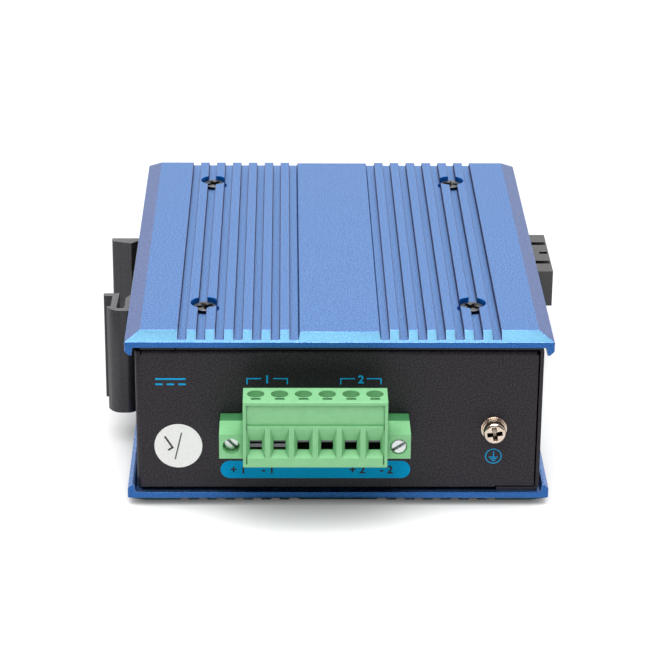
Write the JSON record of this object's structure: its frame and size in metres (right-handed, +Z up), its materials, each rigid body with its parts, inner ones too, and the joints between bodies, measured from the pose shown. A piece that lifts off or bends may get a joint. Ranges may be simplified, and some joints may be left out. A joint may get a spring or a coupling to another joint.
{
  "type": "industrial media converter",
  "caption": "Rail-mount copper-to-fibre converter: black sheet housing between grooved blue covers, plug-in screw terminals, earth screw, fibre nose and spring rail clip.",
  "frame": {"origin": "middle of the lower cover's rest face, on the floor", "axes": "+X from the rail clip to the port face, +Y from the power face to the far face, +Z up"},
  "size_m": [0.1078, 0.1283, 0.0411],
  "materials": {
    "blue_anodised": "matte blue anodised extrusion, end chamfers milled bright",
    "black_sheet": "black powder coat",
    "dark_screw_steel": "dark zinc",
    "zinc_steel": "zinc plated",
    "nickel_plate": "nickel plated",
    "black_extrusion": "black anodised, sawn ends grey",
    "board_laminate": "green solder mask",
    "green_moulding": "light green moulding",
    "deep_green_moulding": "green moulding",
    "brass_contact": "plated",
    "black_moulding": "moulded",
    "ceramic_sleeve": "polished ceramic",
    "lamp_lens": "tinted clear lens",
    "can_aluminium": "drawn can",
    "white_paper": "coated paper"
  },
  "bodies": {
    "converter": {"top_cover": "blue_anodised", "bottom_cover": "blue_anodised", "port_shell": "black_sheet", "chassis_pan": "black_sheet", "top_cover_screws": "dark_screw_steel", "bottom_cover_screws": "dark_screw_steel", "top_cover_nuts": "zinc_steel", "bottom_cover_nuts": "zinc_steel", "rail_clip_screws": "zinc_steel", "rail_clip_nuts": "zinc_steel", "board_standoffs": "zinc_steel", "board_screws": "zinc_steel", "earth_nut": "zinc_steel", "flange_screws": "zinc_steel", "ethernet_shell": "zinc_steel", "earth_screw": "nickel_plate", "earth_spring_washer": "nickel_plate", "earth_flat_washer": "nickel_plate", "rail_clip": "black_extrusion", "circuit_board": "board_laminate", "terminal_plug": "green_moulding", "terminal_header": "deep_green_moulding", "header_pins": "brass_contact", "flange_inserts": "brass_contact", "terminal_contacts": "brass_contact", "transceiver_leads": "brass_contact", "ethernet_contacts": "brass_contact", "fibre_transceiver": "black_moulding", "ethernet_insert": "black_moulding", "lamp_holder": "black_moulding", "controller_chip": "black_moulding", "line_transformer": "black_moulding", "power_inductor": "black_moulding", "fibre_sleeves": "ceramic_sleeve", "status_lamps": "lamp_lens", "smoothing_capacitors": "can_aluminium", "clock_crystal": "can_aluminium", "paper_seal": "white_paper"},
    "clamp_1_screw": {"clamp_screw_1": "zinc_steel"},
    "clamp_1_cage": {"clamp_cage_1": "zinc_steel"},
    "clamp_2_screw": {"clamp_screw_2": "zinc_steel"},
    "clamp_2_cage": {"clamp_cage_2": "zinc_steel"},
    "clamp_3_screw": {"clamp_screw_3": "zinc_steel"},
    "clamp_3_cage": {"clamp_cage_3": "zinc_steel"},
    "clamp_4_screw": {"clamp_screw_4": "zinc_steel"},
    "clamp_4_cage": {"clamp_cage_4": "zinc_steel"},
    "clamp_5_screw": {"clamp_screw_5": "zinc_steel"},
    "clamp_5_cage": {"clamp_cage_5": "zinc_steel"},
    "clamp_6_screw": {"clamp_screw_6": "zinc_steel"},
    "clamp_6_cage": {"clamp_cage_6": "zinc_steel"}
  },
  "joints": [
    {"name": "clamp_1_turn", "type": "hinge", "parent": "converter", "child": "clamp_1_screw", "pos_m": [-0.01805, -0.067, 0.0266], "axis": [0, 0, -1], "range_deg": [-1368, 0]},
    {"name": "clamp_1_lift", "type": "slide", "parent": "converter", "child": "clamp_1_cage", "axis": [0, 0, 1], "range_m": [-0.0019, 0]},
    {"name": "clamp_2_turn", "type": "hinge", "parent": "converter", "child": "clamp_2_screw", "pos_m": [-0.01297, -0.067, 0.0266], "axis": [0, 0, -1], "range_deg": [-1368, 0]},
    {"name": "clamp_2_lift", "type": "slide", "parent": "converter", "child": "clamp_2_cage", "axis": [0, 0, 1], "range_m": [-0.0019, 0]},
    {"name": "clamp_3_turn", "type": "hinge", "parent": "converter", "child": "clamp_3_screw", "pos_m": [-0.00789, -0.067, 0.0266], "axis": [0, 0, -1], "range_deg": [0, 1368]},
    {"name": "clamp_3_lift", "type": "slide", "parent": "converter", "child": "clamp_3_cage", "axis": [0, 0, 1], "range_m": [0, 0.0019]},
    {"name": "clamp_4_turn", "type": "hinge", "parent": "converter", "child": "clamp_4_screw", "pos_m": [-0.00281, -0.067, 0.0266], "axis": [0, 0, -1], "range_deg": [0, 1368]},
    {"name": "clamp_4_lift", "type": "slide", "parent": "converter", "child": "clamp_4_cage", "axis": [0, 0, 1], "range_m": [0, 0.0019]},
    {"name": "clamp_5_turn", "type": "hinge", "parent": "converter", "child": "clamp_5_screw", "pos_m": [0.00227, -0.067, 0.0266], "axis": [0, 0, -1], "range_deg": [0, 1368]},
    {"name": "clamp_5_lift", "type": "slide", "parent": "converter", "child": "clamp_5_cage", "axis": [0, 0, 1], "range_m": [0, 0.0019]},
    {"name": "clamp_6_turn", "type": "hinge", "parent": "converter", "child": "clamp_6_screw", "pos_m": [0.00735, -0.067, 0.0266], "axis": [0, 0, -1], "range_deg": [0, 1368]},
    {"name": "clamp_6_lift", "type": "slide", "parent": "converter", "child": "clamp_6_cage", "axis": [0, 0, 1], "range_m": [0, 0.0019]}
  ],
  "couplings": [
    {"joint": "clamp_1_turn", "follows": "clamp_1_lift", "rad_per_m": 12566},
    {"joint": "clamp_2_turn", "follows": "clamp_2_lift", "rad_per_m": 12566},
    {"joint": "clamp_3_turn", "follows": "clamp_3_lift", "rad_per_m": 12566},
    {"joint": "clamp_4_turn", "follows": "clamp_4_lift", "rad_per_m": 12566},
    {"joint": "clamp_5_turn", "follows": "clamp_5_lift", "rad_per_m": 12566},
    {"joint": "clamp_6_turn", "follows": "clamp_6_lift", "rad_per_m": 12566}
  ]
}
